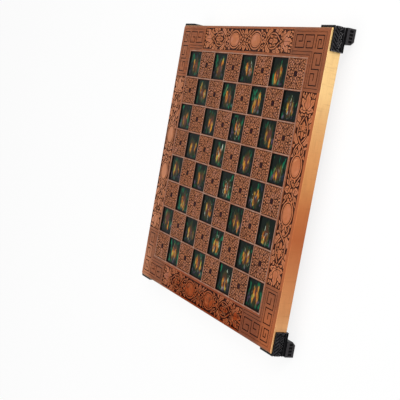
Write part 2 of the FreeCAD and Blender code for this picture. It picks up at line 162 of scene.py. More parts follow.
class NodeSheet:
    """Nodes of one material or world, with a short call for each kind that they use."""

    def __init__(self, owner: Union[Material, bpy.types.World]) -> None:
        """Clears the nodes of a material or world."""
        owner.use_nodes = True
        self.owner = owner
        self.tree = owner.node_tree
        self.tree.nodes.clear()

    def add(self, kind: str, values: Union[Sequence[Value], dict] = (),
            output: Union[int, str] = 0, **settings: object) -> Signal:
        """Adds a node.

        Args:
            kind: Type of the node, without the word that all of them start with.
            values: Signals or numbers for its sockets, in order or by name.
            output: The output that is wanted.
            settings: The node's own properties.

        Returns:
            The output.
        """
        node = self.tree.nodes.new("ShaderNode" + kind)
        for name, setting in settings.items():
            setattr(node, name, setting)
        for key, value in values.items() if isinstance(values, dict) else enumerate(values):
            if isinstance(value, Signal):
                self.tree.links.new(value.socket, node.inputs[key])
            else:
                node.inputs[key].default_value = value
        return Signal(self, node.outputs[output])

    def place(self, stretch: Sequence[float] = (1, 1, 1), shift: Sequence[float] = (0, 0, 0)) -> Signal:
        """Object coordinates in millimetres, with a factor and an offset for each axis."""
        scale = [factor / MM for factor in stretch]
        source = self.add("TexCoord", output="Object")
        return self.add("Mapping", {"Vector": source, "Scale": scale, "Location": shift})

    def axes(self, vector: Optional[Signal] = None) -> list[Signal]:
        """The three numbers of a vector, or of the place in millimetres."""
        return self.add("SeparateXYZ", (vector or self.place(),)).outputs()

    def noise(self, size: float, detail: float = 3.0, rough: float = 0.5, twist: float = 0.0,
              stretch: Sequence[float] = (1, 1, 1), shift: Sequence[float] = (0, 0, 0)) -> Signal:
        """Noise of about 0 to 1.

        Args:
            size: Size of its features in millimetres.
            detail: Number of finer layers.
            rough: Strength of each finer layer.
            twist: Distortion of the pattern.
            stretch: Factor on each axis, where a smaller one gives a longer pattern.
            shift: Offset in millimetres.

        Returns:
            The noise.
        """
        return self.add("TexNoise", {"Vector": self.place(stretch, shift), "Scale": 1 / size,
                                     "Detail": detail, "Roughness": rough, "Distortion": twist})

    def ramp(self, factor: Signal, *stops: tuple[float, Colour]) -> Signal:
        """Colour that runs through some stops, each given as its place and colour."""
        result = self.add("ValToRGB", (factor,))
        elements = result.socket.node.color_ramp.elements
        elements[0].position, elements[0].color = stops[0]
        elements[1].position, elements[1].color = stops[-1]
        for position, colour in stops[1:-1]:
            elements.new(position).color = colour
        return result

    def coats(self, ground: Value, *coats: tuple[Value, Value]) -> Signal:
        """A ground colour under some coats, each given as its share and colour."""
        for share, colour in coats:
            ground = self.add("Mix", {0: share, 6: ground, 7: colour}, 2, data_type="RGBA", clamp_factor=True)
        return ground

    def bump(self, height: Signal, distance: float, strength: float = 1.0) -> Signal:
        """Normal of a surface whose height changes by some millimetres."""
        return self.add("Bump", {"Strength": strength, "Distance": distance * MM, "Height": height})

    def end(self, kind: str, surface: Signal) -> None:
        """Leads the last shader to an output node of some kind."""
        self.tree.links.new(surface.socket, self.tree.nodes.new(kind).inputs["Surface"])

    def finish(self, **values: Value) -> Material:
        """Ends a material with a Principled shader, its sockets named with _ for each space."""
        inputs = {name.replace("_", " "): value for name, value in values.items()}
        self.end("ShaderNodeOutputMaterial", self.add("BsdfPrincipled", inputs))
        return self.owner


@dataclass(frozen=True)
class StainedCarving:
    """Brown stained wood, darker in its cuts and lighter on its edges, partly from wear and partly as a
    painted highlight. Its borders carry painted shade, painted glare and painted warm light.

    The one for the relief pieces is the fine carving, with painted sheen in patches. The plate itself is
    plainer, with a painted highlight along its ridges.
    """

    relief_piece: bool
    slot: str = "stained_carving"
    face: Colour = srgb(136, 80, 52)
    face_red: Colour = srgb(152, 86, 54)
    face_dull: Colour = srgb(112, 66, 45)
    cut: Colour = srgb(34, 9, 8)
    # Lighter tone of the relief pieces: partly wear, and on their edges partly a painted highlight.
    wear_and_highlight: Colour = srgb(214, 140, 96)
    # Painted shade with warm bounce light, for the left border.
    bounce_shade: Colour = srgb(140, 52, 10)
    # Painted warm light, for the front and right borders.
    warm_light: Colour = srgb(190, 106, 62)
    # Painted glare, for the back border.
    glare: Colour = srgb(206, 140, 104)
    # Painted sheen, in patches on the relief pieces.
    sheen: Colour = srgb(188, 128, 108)
    # Painted highlight along the ridges between the squares.
    ridge_highlight: Colour = srgb(176, 148, 132)
    corner_out: Point = (196, 198)
    corner_along: Point = (145, 147)
    sunk_at: Point = (0.27, 0.43)
    ridge_half: float = 0.9
    joint_radius: float = 4.0

    def make(self) -> Material:
        """Builds the material."""
        sheet = NodeSheet(bpy.data.materials.new(self.slot + ("_worn" if self.relief_piece else "")))
        x, y, z = sheet.axes()
        outer = abs(x).most(abs(y))
        corner = outer.span(*self.corner_out) * abs(x).least(abs(y)).span(*self.corner_along)
        # Share of painted shade with warm bounce light in the left border, halved on the corner blocks, where
        # the gloss is lowered too.
        shaded = x.span(-178, -218, 0, 0.95) * y.span(170, 70) * corner.span(0, 1, 1, 0.5)
        sunk = z.span(*(SIZES.top - depth for depth in self.sunk_at))
        sunk = sunk * outer.span(SIZES.flat_half - 0.2, SIZES.flat_half + 0.3, 1, 0)
        cloud = sheet.noise(60)
        colour = self.face_and_light(sheet, x, y, corner, shaded, cloud)
        soiled = sunk * sheet.noise(5, 2).span(0.2, 0.6, 0.7 if self.relief_piece else 0.95, 0.98)
        if self.relief_piece:
            square = outer.span(SIZES.field_half, SIZES.field_half - 1)
            freckles = sheet.noise(2.0, 2)
            soiled = soiled * (square * freckles.span(0.35, 0.55, 0.55, 0.0)).rest()
            murk = sheet.noise(34, 2).span(0.40, 0.60, 0.45, 0.95)
            colour = sheet.coats(colour, (square * murk * freckles.span(0.52, 0.38), self.cut))
        # Painted shade: dark blotches in the shaded left border, much stronger on the relief pieces.
        shade_blotches = sheet.noise(7).span(0.46, 0.66, 0, 0.8 if self.relief_piece else 0.2)
        colour = sheet.coats(colour, (soiled, self.cut), (shaded * shade_blotches, self.cut))
        if not self.relief_piece:
            # Painted highlight along the ridges between the squares, in patches.
            ridge = self.ridge(x, y).most(self.ridge(y, x)) * z.span(SIZES.top - 0.2, SIZES.top - 0.05)
            patches = sheet.noise(14, 3, 0.6).span(0.35, 0.65, 0.25, 0.75)
            colour = sheet.coats(colour, (ridge * patches, self.ridge_highlight))
        colour = sheet.coats(colour, (self.joint(x, y), self.cut))
        if self.relief_piece:
            # Edges lighter by their pointiness: partly wear, partly a painted highlight.
            edge_wear_and_highlight = sheet.add("NewGeometry", output="Pointiness").span(0.505, 0.57, 0, 0.7)
            colour = sheet.coats(colour, (edge_wear_and_highlight * sunk.rest(), self.wear_and_highlight))
        pores = sheet.noise(0.45, 3, 0.6, stretch=(1, 0.12, 1))
        return sheet.finish(Base_Color=colour, Roughness=cloud.span(0.3, 0.7, 0.5, 0.62), IOR=1.46,
                            Specular_IOR_Level=shaded.span(0.0, 1.0, 0.10, 0.02),
                            Normal=sheet.bump(pores, 0.08, 0.6))

    def face_and_light(self, sheet: NodeSheet, x: Signal, y: Signal, corner: Signal, shaded: Signal,
              cloud: Signal) -> Signal:
        """Colour of the uncut face, with painted shade, painted glare, painted warm light and, on the relief
        pieces, painted sheen.

        Args:
            sheet: The node sheet.
            x: Place across the board.
            y: Place up the board.
            corner: Share of the corner blocks.
            shaded: Share of the painted shade, with warm bounce light, in the left border.
            cloud: Broad noise.

        Returns:
            The colour.
        """
        streaks = sheet.noise(1.6, 4, 0.6, stretch=(1, 0.06, 1))
        panels = corner.span(0, 1, 1, 0.3).most(x.span(-150, -200))
        coats = [(cloud.span(0.35, 0.65), self.face_red), (streaks.span(0.40, 0.68), self.face_dull)]
        # On the relief pieces: an overall lighter tone, and patches of painted sheen.
        if self.relief_piece:
            coats += [(0.24, self.wear_and_highlight), (sheet.noise(20).span(0.48, 0.66, 0, 0.5), self.sheen)]
        # Painted shade with bounce light on the left border, darker corner blocks, painted glare on the back
        # border and painted warm light on the front and right borders.
        return sheet.coats(self.face, *coats, (shaded, self.bounce_shade),
                           (corner * y.span(100, 145, 0.5, 0.0), self.face_dull),
                           (y.span(190, 225, 0, 0.5) * panels, self.glare),
                           (y.span(-192, -215, 0, 0.55) * panels, self.warm_light),
                           (x.span(192, 215, 0, 0.25) * panels, self.warm_light))

    def joint(self, x: Signal, y: Signal) -> Signal:
        """Share of the soiled joint round the drop in the middle of each square."""
        squares = [((across / SIZES.pitch + SIZES.squares).calc("FRACT") - 0.5) ** 2.0 for across in (x, y)]
        reach = (squares[0] + squares[1]).calc("SQRT") * SIZES.pitch
        inside = abs(x).most(abs(y)).span(SIZES.field_half, SIZES.field_half - 1)
        return reach.span(self.joint_radius, self.joint_radius - 0.4) * inside

    def ridge(self, across: Signal, along: Signal) -> Signal:
        """Share of a ridge between two squares, which gets a painted highlight."""
        place = across / SIZES.pitch
        off = abs(place - place.calc("ROUND"))
        inside = abs(across).most(abs(along)).span(SIZES.field_half + 1.4, SIZES.field_half + 1.0)
        return off.span(self.ridge_half / SIZES.pitch, (self.ridge_half - 0.3) / SIZES.pitch) * inside


@dataclass(frozen=True)
class PaintedEnamel:
    """Dark enamel: a maroon heart, golden flames, a green shore and a dark rim, new in each square."""

    slot: str = "enamel"
    rim: Colour = srgb(8, 12, 10)
    violet: Colour = srgb(104, 82, 112)
    emerald: Colour = srgb(14, 114, 76)
    blue: Colour = srgb(36, 52, 76)
    spark: Colour = srgb(206, 222, 200)
    ground: tuple = ((0.15, srgb(84, 48, 40)), (0.45, srgb(66, 42, 26)), (0.66, srgb(50, 46, 18)),
                     (0.82, srgb(30, 40, 18)), (0.98, srgb(18, 34, 20)), (1.2, srgb(10, 20, 14)))
    fire: tuple = ((0.38, srgb(120, 54, 20)), (0.47, srgb(180, 92, 26)), (0.54, srgb(206, 136, 40)),
                   (0.62, srgb(150, 156, 70)))
    seeds: Point = (0.0, 17.0)
    heart_half: Point = (19.0, 13.0)
    left_half: Point = (10.5, 4.0)
    right_half: Point = (9.5, 3.6)

    def make(self) -> Material:
        """Builds the material."""
        sheet = NodeSheet(bpy.data.materials.new(self.slot))
        axes = sheet.axes()[:2]
        cells = [((across + SIZES.field_half) / SIZES.pitch).calc("FLOOR") for across in axes]
        spot = [across - ((cell + 0.5) * SIZES.pitch - SIZES.field_half)
                for across, cell in zip(axes, cells)]
        luck = [chance for seed in self.seeds for chance in self.chances(sheet, cells, seed)]
        wide = sheet.noise(9.0, 2, 0.5, 0.5, (0.5, 1, 1))
        strands = sheet.noise(3.0, 2, 0.55, 0.4, (0.2, 1, 1), (37, 11, 0))
        cloud = sheet.noise(8.5, 2, 0.5, 0.6, (0.45, 1, 1), (14, 90, 0))
        smudge = sheet.noise(7.0, 2, 0.5, 0.6, (0.6, 1, 1), (-70, 33, 0))
        warmth = sheet.noise(4.0, 2, 0.5, 0.4, (0.4, 1, 1), (60, -20, 8))
        dash = sheet.noise(3.0, 2, 0.5, 0.6, (0.25, 1, 1), (5, -60, 20))
        heart = self.reach(spot, ((luck[0], -6.0, 2.0), (luck[1], -3.0, 3.0)), self.heart_half)
        band = heart + ((wide - 0.5) * 1.1 + (strands - 0.5) * 0.9)
        shore = band.span(0.55, 0.80) * luck[3].span(0.0, 0.8, 0.35, 1.0)
        warp = (cloud - 0.5) * 3.0
        left = self.reach(spot, ((luck[0], -10, 2), (luck[1], 3, 9)), self.left_half) - warp
        right = self.reach(spot, ((luck[2], -12, 3), (luck[3], -10, -3)), self.right_half) - warp
        flames = (left.span(1.2, 0.5) * luck[5].span(0.0, 0.25, 0.3)).most(
            right.span(1.2, 0.5) * luck[4].span(0.15, 0.45, 0.2))
        rare = band.span(1.0, 0.8) * luck[5].span(0.3, 0.9, 0.1, 0.8)
        outer = abs(spot[0]).most(abs(spot[1]))
        colour = sheet.coats(sheet.ramp(band, *self.ground),
                             (cloud.span(0.54, 0.68, 0, 0.8) * shore, self.emerald),
                             (smudge.span(0.56, 0.72, 0, 0.6) * spot[0].span(4, -10), self.violet),
                             (smudge.span(0.38, 0.28, 0, 0.5), self.blue),
                             (flames * strands.span(0.42, 0.52),
                              sheet.ramp(warmth * 0.6 + strands * 0.4, *self.fire)),
                             (dash.span(0.62, 0.70) * rare, self.spark),
                             (outer.span(17.5, 21.8), self.rim))
        return sheet.finish(Base_Color=colour, Roughness=strands.span(0.3, 0.7, 0.12, 0.22), IOR=1.45,
                            Specular_IOR_Level=0.04, Normal=sheet.bump(wide, 0.10, 0.5))

    def reach(self, spot: Spot, chances: Sequence[Chance], half: Point) -> Signal:
        """Distance from an oval's middle, as a share of its size.

        Args:
            spot: Coordinates from the middle of the square.
            chances: For each axis the chance and the two ends of the range that it picks a place from.
            half: Half sizes of the oval.

        Returns:
            The distance.
        """
        parts = [((place - (chance * (high - low) + low)) / size) ** 2.0
                 for place, (chance, low, high), size in zip(spot, chances, half)]
        return (parts[0] + parts[1]).calc("SQRT")

    def chances(self, sheet: NodeSheet, cells: Spot, seed: float) -> list[Signal]:
        """Three chances from 0 to 1 for each square."""
        dice = sheet.add("TexWhiteNoise", {"Vector": sheet.add("CombineXYZ", (*cells, seed))}, "Color")
        return sheet.add("SeparateColor", (dice,)).outputs()


@dataclass(frozen=True)
class PaleHardwood:
    """Oiled pale hardwood with its grain along the piece. Along its length the tone is partly the wood's own
    and partly painted light: brighter towards both ends, with warm painted bounce light past the middle.

    The upper edge of the rails that lie along Y is darker brown.
    """

    grain: Grain
    slot: str = "pale_hardwood"
    line: Colour = srgb(150, 88, 46)
    stained: Colour = srgb(118, 70, 42)
    # Tone along the grain: partly the wood's own, partly painted light, with warm painted bounce light past
    # the middle.
    length: tuple = ((0.0, srgb(252, 196, 134)), (0.13, srgb(216, 146, 90)), (0.36, srgb(184, 98, 48)),
                     (0.45, srgb(194, 112, 58)), (0.52, srgb(214, 144, 82)), (0.62, srgb(222, 156, 94)),
                     (0.71, srgb(232, 176, 112)), (0.80, srgb(252, 208, 140)), (1.0, srgb(255, 214, 144)))

    def stretch(self, along: float, across: float = 1) -> tuple[float, float, float]:
        """Factors that give a pattern along the grain and across it."""
        return (along, across, across) if self.grain is Grain.X else (across, along, across)

    def make(self) -> Material:
        """Builds the material."""
        sheet = NodeSheet(bpy.data.materials.new(self.slot + "_" + self.grain.name.lower()))
        axes = sheet.axes()
        wander = sheet.noise(60, 2, shift=(70, 0, 0))
        run = axes[self.grain.value] + (wander - 0.5) * 30.0
        fibres = sheet.noise(0.9, 3, 0.6, stretch=self.stretch(0.03))
        figure = sheet.noise(3.0, 3, 0.6, 0.4, self.stretch(1, 0.1))
        patch = sheet.noise(14, 2, stretch=self.stretch(0.3), shift=(9, 9, 9))
        # Painted light and the wood's own tone along the length.
        colour = sheet.ramp((run + SIZES.board_half) / (2 * SIZES.board_half), *self.length)
        colour = sheet.coats(colour, (fibres.span(0.5, 0.8, 0, 0.22), self.line),
                             (figure.span(0.52, 0.72, 0, 0.16), self.line),
                             (patch.span(0.55, 0.7, 0, 0.12), self.line))
        # The upper edge of the rails along Y is darker brown.
        if self.grain is Grain.Y:
            edge = axes[2].span(SIZES.rail_lip - 0.2, SIZES.rail_lip - 0.1, 0, 0.9)
            colour = sheet.coats(colour, (edge, self.stained))
        return sheet.finish(Base_Color=colour, Roughness=figure.span(0.3, 0.7, 0.42, 0.54), IOR=1.47,
                            Specular_IOR_Level=0.25, Normal=sheet.bump(fibres, 0.05, 0.6))


@dataclass(frozen=True)
class CorePlywood:
    """Birch plywood in thin layers."""

    slot: str = "core_plywood"
    layer_pair: float = 2.4

    def make(self) -> Material:
        """Builds the material."""
        sheet = NodeSheet(bpy.data.materials.new(self.slot))
        layers = (sheet.axes()[2] / self.layer_pair).calc("FRACT")
        fibres = sheet.noise(0.8, 3, stretch=(0.05, 1, 1))
        colour = sheet.coats(srgb(206, 172, 124), (layers.span(0.45, 0.55), srgb(170, 128, 84)),
                             (fibres.span(0.4, 0.7, 0, 0.4), srgb(150, 108, 70)))
        return sheet.finish(Base_Color=colour, Roughness=0.65, Normal=sheet.bump(fibres, 0.05))


@dataclass(frozen=True)
class BackVeneer:
    """Straight-grained brown veneer of the back."""

    slot: str = "back_veneer"

    def make(self) -> Material:
        """Builds the material."""
        sheet = NodeSheet(bpy.data.materials.new(self.slot))
        figure = sheet.noise(7, 4, 0.6, 0.6, (0.02, 1, 1))
        fibres = sheet.noise(0.7, 3, 0.6, stretch=(0.04, 1, 1))
        colour = sheet.ramp(figure, (0.32, srgb(104, 66, 40)), (0.5, srgb(146, 98, 60)),
                            (0.66, srgb(170, 120, 78)))
        colour = sheet.coats(colour, (fibres.span(0.5, 0.75, 0, 0.5), srgb(84, 52, 32)))
        return sheet.finish(Base_Color=colour, Roughness=figure.span(0.3, 0.7, 0.5, 0.62),
                            Normal=sheet.bump(fibres, 0.06, 0.6))


@dataclass(frozen=True)
class BlackCasting:
    """Iron casting, black lacquered with a satin finish and black in its hollows, with a painted highlight on
    its crests and edges that also stands for polish, and painted shade where ambient occlusion finds a
    hollow.
    """

    relief_piece: bool
    slot: str = "black_casting"
    hollow_reach: float = 2.5
    casting_black: Colour = srgb(6, 6, 8)
    highlight_and_polish: Colour = srgb(146, 143, 145)

    def make(self) -> Material:
        """Builds the material."""
        sheet = NodeSheet(bpy.data.materials.new(self.slot + ("_worn" if self.relief_piece else "")))
        x, y, z = sheet.axes()
        sand, cloud = sheet.noise(0.7, 3, 0.6), sheet.noise(9, 2)
        # Ambient occlusion, for the painted shade in the hollows.
        ao_light = sheet.add("AmbientOcclusion", {"Distance": self.hollow_reach * MM}, "AO",
                             samples=6, only_local=True)
        outer = abs(x).most(abs(y))
        foot = z.span(SIZES.wall_base + 0.1, SIZES.wall_base - 0.1)
        wall = outer.span(SIZES.wall_half + 1.0, SIZES.wall_half + 1.4) * foot.rest()
        proud = wall.most(outer.span(SIZES.foot_half - 0.4, SIZES.foot_half - 0.2) * foot)
        # Painted highlight: the crests of the relief and the foot's outer faces are grey, the rest is black.
        crest_light = sheet.coats(srgb(42, 41, 44), (cloud.span(0.4, 0.6), srgb(60, 59, 62)),
                              (foot, srgb(58, 56, 58)))
        colour = sheet.coats(self.casting_black, (proud, crest_light))
        if self.relief_piece:
            # Painted highlight on the edges by their pointiness, which also stands for polish, brighter
            # towards high x.
            wear_and_highlight = sheet.add("NewGeometry", output="Pointiness").span(0.51, 0.58, 0, 0.8)
            wear_and_highlight = wear_and_highlight * proud.span(0.0, 0.4, 0.1, 1.0) * x.span(-220, 220, 0.35, 1.0)
            colour = sheet.coats(colour, (wear_and_highlight, self.highlight_and_polish))
        # Painted shade: what ambient occlusion finds hollow goes near black.
        colour = sheet.coats(colour, (ao_light.span(0.85, 0.45, 0, 0.95), srgb(2, 2, 2)))
        return sheet.finish(Base_Color=colour, Roughness=cloud.span(0.35, 0.65, 0.34, 0.46), IOR=1.5,
                            Specular_IOR_Level=0.06, Normal=sheet.bump(sand, 0.06, 0.6))


@dataclass(frozen=True)
class PlainFinish:
    """Finish of a small piece: one colour that wavers into another over fine noise."""

    slot: str
    first: Colour
    second: Colour
    size: float
    detail: float
    height: float
    rough: Point
    stretch: tuple = (1, 1, 1)
    metallic: float = 0.0
    ior: float = 1.5
    specular: float = 0.5

    def make(self) -> Material:
        """Builds the material."""
        sheet = NodeSheet(bpy.data.materials.new(self.slot))
        cloud = sheet.noise(self.size, self.detail, stretch=self.stretch)
        colour = sheet.coats(self.first, (cloud.span(0.4, 0.65), self.second))
        return sheet.finish(Base_Color=colour, Metallic=self.metallic,
                            Roughness=cloud.span(0.3, 0.7, *self.rough), IOR=self.ior,
                            Specular_IOR_Level=self.specular, Normal=sheet.bump(cloud, self.height))


PLUM_ENAMEL = PlainFinish("dot_enamel", srgb(26, 2, 10), srgb(58, 8, 26), 2, 2, 0.05, (0.4, 0.4),
                          ior=1.42, specular=0.06)
GREY_RUBBER = PlainFinish("pad_rubber", srgb(44, 43, 42), srgb(58, 57, 55), 0.8, 3, 0.08, (0.85, 0.85))
BRIGHT_STEEL = PlainFinish("screw_steel", srgb(186, 186, 184), srgb(150, 150, 152), 0.4, 3, 0.02,
                           (0.25, 0.42), (1, 0.1, 1), metallic=1.0)


# Carved relief


REACH = 3.0  # how far round a motif the surface is looked at, in millimetres
TINY = 1e-9
FAR = 1e9
GROUND = 0.06  # height of a carving's ground over the sunk floor
EMBED = 0.02  # depth of a carving's underside below that floor


def smooth_path(points: Sequence[Point], steps: int = 10) -> np.ndarray:
    """Smooth path through some points, one in each row, with some short runs from point to point."""
    knots = np.array([points[0], *points, points[-1]], float)
    t = np.linspace(0, 1, steps, endpoint=False)[:, None]
    runs = []
    for a, b, c, d in zip(knots, knots[1:], knots[2:], knots[3:]):
        runs.append(b + 0.5 * t * (c - a + t * (2 * a - 5 * b + 4 * c - d + t * (3 * (b - c) + d - a))))
    return np.vstack([*runs, knots[-1:]])


def heading(base: Point, tip: Point) -> tuple[np.ndarray, np.ndarray, float, float, float]:
    """Both ends of a line, its length and the two parts of its direction."""
    start, end = np.array(base, float), np.array(tip, float)
    length = float(np.hypot(*(end - start)))
    return start, end, length, *((end - start) / length)


@dataclass
class Relief:
    """Height of a carved surface over its ground, built up motif over motif, in millimetres."""

    along: np.ndarray
    across: np.ndarray
    depth: float
    gap: float = 1.1
    wall: float = 0.7
    keep: float = 0.0
    shoulder: float = 0.86
    height: np.ndarray = field(init=False)
    free: np.ndarray = field(init=False)

    def __post_init__(self) -> None:
        """Starts with the bare ground."""
        self.height = np.zeros_like(self.along)
        self.free = np.full_like(self.along, REACH)

    def near(self, low: np.ndarray, high: np.ndarray, reach: float) -> np.ndarray:
        """Numbers of the surface's points in a box that is grown by a reach."""
        low, high = low - reach, high + reach
        return np.nonzero((self.along > low[0]) & (self.along < high[0])
                          & (self.across > low[1]) & (self.across < high[1]))[0]

    def lay(self, chosen: np.ndarray, distance: np.ndarray, level: float = 1.0,
            gap: Optional[float] = None) -> None:
        """Clears a gap round a motif and lays the motif over what is there.

        Args:
            chosen: Numbers of the points near the motif.
            distance: Their distance to its outline, less than 0 inside.
            level: Height of its face as a share of the depth.
            gap: Width of the cut round it, if not the usual one.
        """
        self.free[chosen] = np.minimum(self.free[chosen], distance)
        gap = self.gap if gap is None else gap
        clear = 1.0
        if gap > 0:
            clear = self.keep + (1 - self.keep) * np.clip((distance - gap) / self.wall + 0.5, 0, 1)
        flank = np.clip(0.5 - distance / self.wall, 0, 1)
        shoulder = self.shoulder + (1 - self.shoulder) * np.clip(-distance / 1.0, 0, 1)
        face = self.depth * level * flank * shoulder
        self.height[chosen] = np.maximum(self.height[chosen] * clear, face)

    def cut(self, chosen: np.ndarray, distance: np.ndarray, width: float, share: float = 0.6) -> None:
        """Cuts a V-groove along the line where a distance is 0."""
        groove = np.clip(1 - np.abs(distance) / (width / 2), 0, 1) * share * self.depth
        self.height[chosen] = np.clip(self.height[chosen] - groove, 0, None)

    def disc(self, centre: Point, radius: float, gap: Optional[float] = None) -> None:
        """Lays a flat disc."""
        middle = np.array(centre)
        chosen = self.near(middle, middle, radius + REACH)
        distance = np.hypot(self.along[chosen] - centre[0], self.across[chosen] - centre[1]) - radius
        self.lay(chosen, distance, gap=gap)

    def oval(self, centre: Point, half: Point) -> tuple[np.ndarray, np.ndarray]:
        """Points near an oval with these half sizes, and their distance to its edge, less than 0 inside."""
        middle = np.array(centre)
        chosen = self.near(middle, middle, max(half) + REACH)
        x, y = self.along[chosen] - centre[0], self.across[chosen] - centre[1]
        share = np.hypot(x / half[0], y / half[1]) + TINY
        return chosen, share * (share - 1) / (np.hypot(x / half[0] ** 2, y / half[1] ** 2) + TINY)

    def stem(self, points: Sequence[Point], width: float, end_width: Optional[float] = None,
             level: float = 1.0, gap: Optional[float] = None, steps: int = 10) -> None:
        """Lays a stem along a smooth path, tapered from one width to another."""
        path = smooth_path(points, steps)
        chosen = self.near(path.min(0), path.max(0), width + REACH)
        x, y = self.along[chosen], self.across[chosen]
        best = np.full(x.shape, FAR)
        widths = np.linspace(width, width if end_width is None else end_width, len(path)) / 2
        for (ax, ay), (bx, by), half in zip(path, path[1:], widths):
            dx, dy = bx - ax, by - ay
            share = np.clip(((x - ax) * dx + (y - ay) * dy) / (dx * dx + dy * dy + 1e-12), 0, 1)
            best = np.minimum(best, np.hypot(x - ax - share * dx, y - ay - share * dy) - half)
        self.lay(chosen, best, level, gap)

    def leaf(self, base: Point, tip: Point, width: float, bend: float = 0.0, lobes: int = 0,
             gap: Optional[float] = None, vein: float = 0.9, ribs: float = 0.0) -> None:
        """Lays a pointed leaf with a cut midrib.

        Args:
            base: Where its stalk meets it.
            tip: Its point.
            width: Its half width.
            bend: How far its middle bows to the left of the line from base to tip.
            lobes: Number of scallops on each edge.
            gap: Width of the cut round it, if not the usual one.
            vein: Width of the midrib's groove, or 0.
            ribs: Distance between the cut side veins, or 0 for a leaf without them.
        """
        bluntness, scallop, vein_end, rib_slant = 0.75, 0.32, 0.78, 0.8
        start, end, length, ux, uy = heading(base, tip)
        chosen = self.near(np.minimum(start, end), np.maximum(start, end), width + abs(bend) + REACH)
        x, y = self.along[chosen] - start[0], self.across[chosen] - start[1]
        share = (x * ux + y * uy) / length
        off = y * ux - x * uy - bend * 4 * share * (1 - share)
        held = np.clip(share, 0, 1)
        half = width * np.sin(math.pi * held ** bluntness) ** bluntness
        if lobes:
            half = half * (1 - scallop * np.abs(np.cos(math.pi * lobes * held)) ** 3)
        past = (share - held) * length
        side = np.abs(off) - half
        distance = np.where(past == 0, side, np.hypot(past, np.maximum(side, 0)))
        self.lay(chosen, distance, gap=gap)
        if vein:
            inner = (share > 0.0) & (share < vein_end)
            self.cut(chosen[inner], off[inner], vein)
        if ribs:
            inside = distance < 0.3
            step = (share * length - rib_slant * np.abs(off))[inside] / ribs + 0.3
            self.cut(chosen[inside], (step - np.round(step)) * ribs, 1.75 * vein, 0.44)

    def bed(self, leaves: Sequence[tuple], level: float, ease: float = 0.3) -> None:
        """Raises the ground to a level over leaves with arched edges, and a little past them."""
        for base, tip, half in leaves:
            start, end, length, ux, uy = heading(base, tip)
            x, y = self.along - (start[0] + end[0]) / 2, self.across - (start[1] + end[1]) / 2
            run, off = x * ux + y * uy, y * ux - x * uy
            radius = (length * length / 4 + half * half) / (2 * half)
            distance = np.hypot(run, np.abs(off) + radius - half) - radius
            self.height = np.maximum(self.height, level * np.clip(1 + (ease - distance) / self.wall, 0, 1))

    def palmette(self, base: Point, lengths: Sequence[float], spread: float, breadth: float) -> None:
        """Lays a broad leaf of several lobed fingers that points along the surface.

        Args:
            base: Where the fingers meet.
            lengths: Lengths of the fingers, from the middle one to the outermost pair.
            spread: Angle between two fingers, in degrees.
            breadth: Half width of a finger as a share of its length.
        """
        for step in range(len(lengths) - 1, -1, -1):
            for side in (-1, 1)[:1 if step == 0 else 2]:
                turn = math.radians(side * step * spread)
                tip = (base[0] + lengths[step] * math.cos(turn), base[1] + lengths[step] * math.sin(turn))
                self.leaf(base, tip, lengths[step] * breadth, 0, 2, gap=self.gap * 0.7)

    def fill(self, margin: np.ndarray, smallest: float, largest: float, gap: float) -> None:
        """Lays small leaves wherever the ground is still wide.

        Args:
            margin: Distance of each point to the edge of the ground.
            smallest: Half width of the narrowest ground that still gets a leaf.
            largest: Half width of the broadest leaf.
            gap: Width of the cut round each leaf.
        """
        chance = np.modf(np.abs(np.sin(self.along * 12.9898 + self.across * 78.233)) * 437.5)[0]
        while True:
            room = np.minimum(self.free, margin)
            spot = int(np.argmax(room + 0.25 * chance * (room > smallest)))
            if room[spot] <= smallest:
                return
            half = min(room[spot] * 0.8, largest)
            turn = chance[spot] * 2 * math.pi
            reach = (half * 1.5 * math.cos(turn), half * 1.5 * math.sin(turn))
            middle = (self.along[spot], self.across[spot])
            ends = [(middle[0] + way * reach[0], middle[1] + way * reach[1]) for way in (-1, 1)]
            self.leaf(*ends, half, 0.2 * half, gap=gap, vein=0)

    def scroll(self, centre: Point, radius: float, start: float, turns: float, width: float) -> None:
        """Lays a volute that winds into its middle and ends in a small eye."""
        steps = max(6, int(abs(turns) * 14))
        points = []
        for number in range(steps + 1):
            share = number / steps
            turn = math.radians(start) + share * turns * 2 * math.pi
            reach = radius * (1 - 0.78 * share)
            points.append((centre[0] + reach * math.cos(turn), centre[1] + reach * math.sin(turn)))
        self.stem(points, width, width * 0.75, steps=2)
        self.disc(centre, width * 0.62, gap=0)


def shape_grid(low: Point, high: Point, pitch: float, base: float,
               height_of: Callable[[np.ndarray, np.ndarray], np.ndarray]) -> BMesh:
    """Closed slab with a carved upper face, in millimetres.

    Args:
        low: Lower corner of its outline.
        high: Upper corner of its outline.
        pitch: Size of the carved face's cells.
        base: Height of its flat underside.
        height_of: Gives the height of each point of the face from its two coordinates.

    Returns:
        The slab, which the caller frees.
    """
    spans = (high[0] - low[0], high[1] - low[1])
    cells = [max(2, round(span / pitch)) for span in spans]
    slab = bmesh.new()
    bmesh.ops.create_grid(slab, x_segments=cells[0], y_segments=cells[1], size=0.5)
    bmesh.ops.scale(slab, vec=(spans[0], spans[1], 1), verts=slab.verts)
    bmesh.ops.translate(slab, vec=(low[0] + spans[0] / 2, low[1] + spans[1] / 2, 0), verts=slab.verts)
    spots = np.array([vert.co[:2] for vert in slab.verts])
    for vert, height in zip(slab.verts, height_of(spots[:, 0], spots[:, 1])):
        vert.co.z = height
    rim = [edge for edge in slab.edges if edge.is_boundary]
    skirt = bmesh.ops.extrude_edge_only(slab, edges=rim)["geom"]
    for vert in skirt:
        if isinstance(vert, bmesh.types.BMVert):
            vert.co.z = base
    bmesh.ops.holes_fill(slab, edges=[edge for edge in slab.edges if edge.is_boundary], sides=0)
    bmesh.ops.recalc_face_normals(slab, faces=slab.faces)
    return slab


